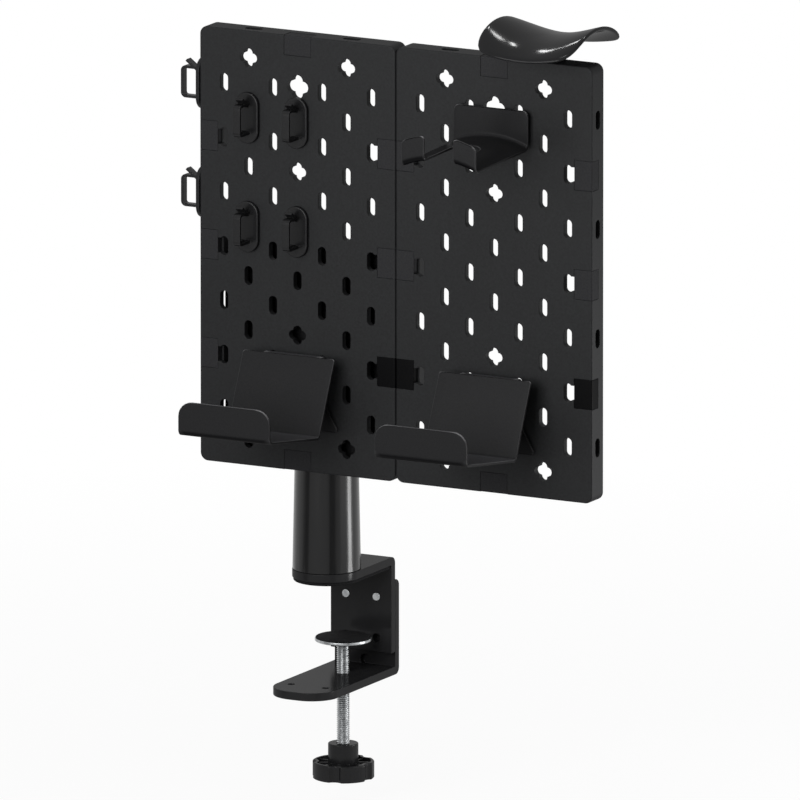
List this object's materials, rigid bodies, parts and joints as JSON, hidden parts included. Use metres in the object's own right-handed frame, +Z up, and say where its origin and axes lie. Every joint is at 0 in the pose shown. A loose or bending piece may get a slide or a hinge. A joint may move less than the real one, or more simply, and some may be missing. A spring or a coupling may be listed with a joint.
{
  "type": "desk pegboard",
  "caption": "Black clamp-on desk pegboard: slotted panels on a round column and steel desk clamp, with bent-metal trays, a controller hook, a headphone rest and cable clips.",
  "frame": {"origin": "on the column's axis in the plane of the desk top, the underside of the upper jaw's foam pad", "axes": "+Z up along the column, -Y out of the board's face towards its user, +X along the board from the column's panel to the other"},
  "size_m": [0.3392, 0.2238, 0.5879],
  "materials": {
    "powder_coated_steel": "matte black powder coat",
    "satin_painted_tube": "satin black paint",
    "moulded_abs_grained": "fine grain black",
    "moulded_abs_smooth": "smooth black",
    "moulded_abs_gloss": "polished black",
    "zinc_plated_steel": "bright zinc plate",
    "turned_aluminium": "turned",
    "eva_foam": "matte black foam"
  },
  "bodies": {
    "clamp": {"upper_jaw": "powder_coated_steel", "desk_pad": "eva_foam", "lower_jaw": "powder_coated_steel", "jaw_screws": "zinc_plated_steel", "pivot_washer": "zinc_plated_steel"},
    "pad": {"pressure_disc": "powder_coated_steel", "disc_liner": "eva_foam"},
    "screw": {"clamp_screw": "zinc_plated_steel", "knob": "moulded_abs_smooth"},
    "board": {"column": "satin_painted_tube", "column_foot": "turned_aluminium", "column_cap": "satin_painted_tube", "pivot_bolt": "zinc_plated_steel", "column_saddles": "moulded_abs_smooth", "board_bolts": "zinc_plated_steel", "bolt_nuts": "zinc_plated_steel", "mount_plate": "powder_coated_steel", "plate_screws": "zinc_plated_steel", "left_panel": "moulded_abs_grained", "right_panel": "moulded_abs_grained", "left_edge_covers": "moulded_abs_smooth", "right_edge_covers": "moulded_abs_smooth", "seam_covers": "moulded_abs_smooth", "panel_joiners": "moulded_abs_smooth", "joiner_screws": "zinc_plated_steel"},
    "left_tray": {"left_tray": "powder_coated_steel"},
    "right_tray": {"right_tray": "powder_coated_steel"},
    "controller_hook": {"controller_hook": "powder_coated_steel"},
    "headphone_rest": {"headphone_rest": "moulded_abs_gloss"},
    "clip_upper_outer": {"clip_upper_outer": "moulded_abs_smooth"},
    "clip_upper_inner": {"clip_upper_inner": "moulded_abs_smooth"},
    "clip_lower_outer": {"clip_lower_outer": "moulded_abs_smooth"},
    "clip_lower_inner": {"clip_lower_inner": "moulded_abs_smooth"},
    "clip_side_upper": {"clip_side_upper": "moulded_abs_smooth"},
    "clip_side_lower": {"clip_side_lower": "moulded_abs_smooth"}
  },
  "joints": [
    {"name": "board_swivel", "type": "hinge", "parent": "clamp", "child": "board", "pos_m": [0, 0, 0], "axis": [0, 0, 1], "continuous": true},
    {"name": "pad_lift", "type": "slide", "parent": "clamp", "child": "pad", "axis": [0, 0, 1], "range_m": [-0.01805, 0.04205]},
    {"name": "screw_turn", "type": "hinge", "parent": "pad", "child": "screw", "pos_m": [0, 0.0251, 0], "axis": [0, 0, 1], "range_deg": [-4320, 10080]},
    {"name": "left_tray_lift", "type": "slide", "parent": "board", "child": "left_tray", "axis": [0, 0, 1], "range_m": [0, 0.0084]},
    {"name": "right_tray_lift", "type": "slide", "parent": "board", "child": "right_tray", "axis": [0, 0, 1], "range_m": [0, 0.0084]},
    {"name": "controller_hook_lift", "type": "slide", "parent": "board", "child": "controller_hook", "axis": [0, 0, 1], "range_m": [0, 0.0084]},
    {"name": "headphone_rest_lift", "type": "slide", "parent": "board", "child": "headphone_rest", "axis": [0, 0, 1], "range_m": [0, 0.0104]},
    {"name": "clip_upper_outer_lift", "type": "slide", "parent": "board", "child": "clip_upper_outer", "axis": [0, 0, 1], "range_m": [0, 0.0036]},
    {"name": "clip_upper_inner_lift", "type": "slide", "parent": "board", "child": "clip_upper_inner", "axis": [0, 0, 1], "range_m": [0, 0.0036]},
    {"name": "clip_lower_outer_lift", "type": "slide", "parent": "board", "child": "clip_lower_outer", "axis": [0, 0, 1], "range_m": [0, 0.0036]},
    {"name": "clip_lower_inner_lift", "type": "slide", "parent": "board", "child": "clip_lower_inner", "axis": [0, 0, 1], "range_m": [0, 0.0036]},
    {"name": "clip_side_upper_lift", "type": "slide", "parent": "board", "child": "clip_side_upper", "axis": [0, 0, 1], "range_m": [0, 0.0036]},
    {"name": "clip_side_lower_lift", "type": "slide", "parent": "board", "child": "clip_side_lower", "axis": [0, 0, 1], "range_m": [0, 0.0036]}
  ],
  "couplings": [
    {"joint": "pad_lift", "follows": "screw_turn", "m_per_rad": 0.00023873}
  ]
}
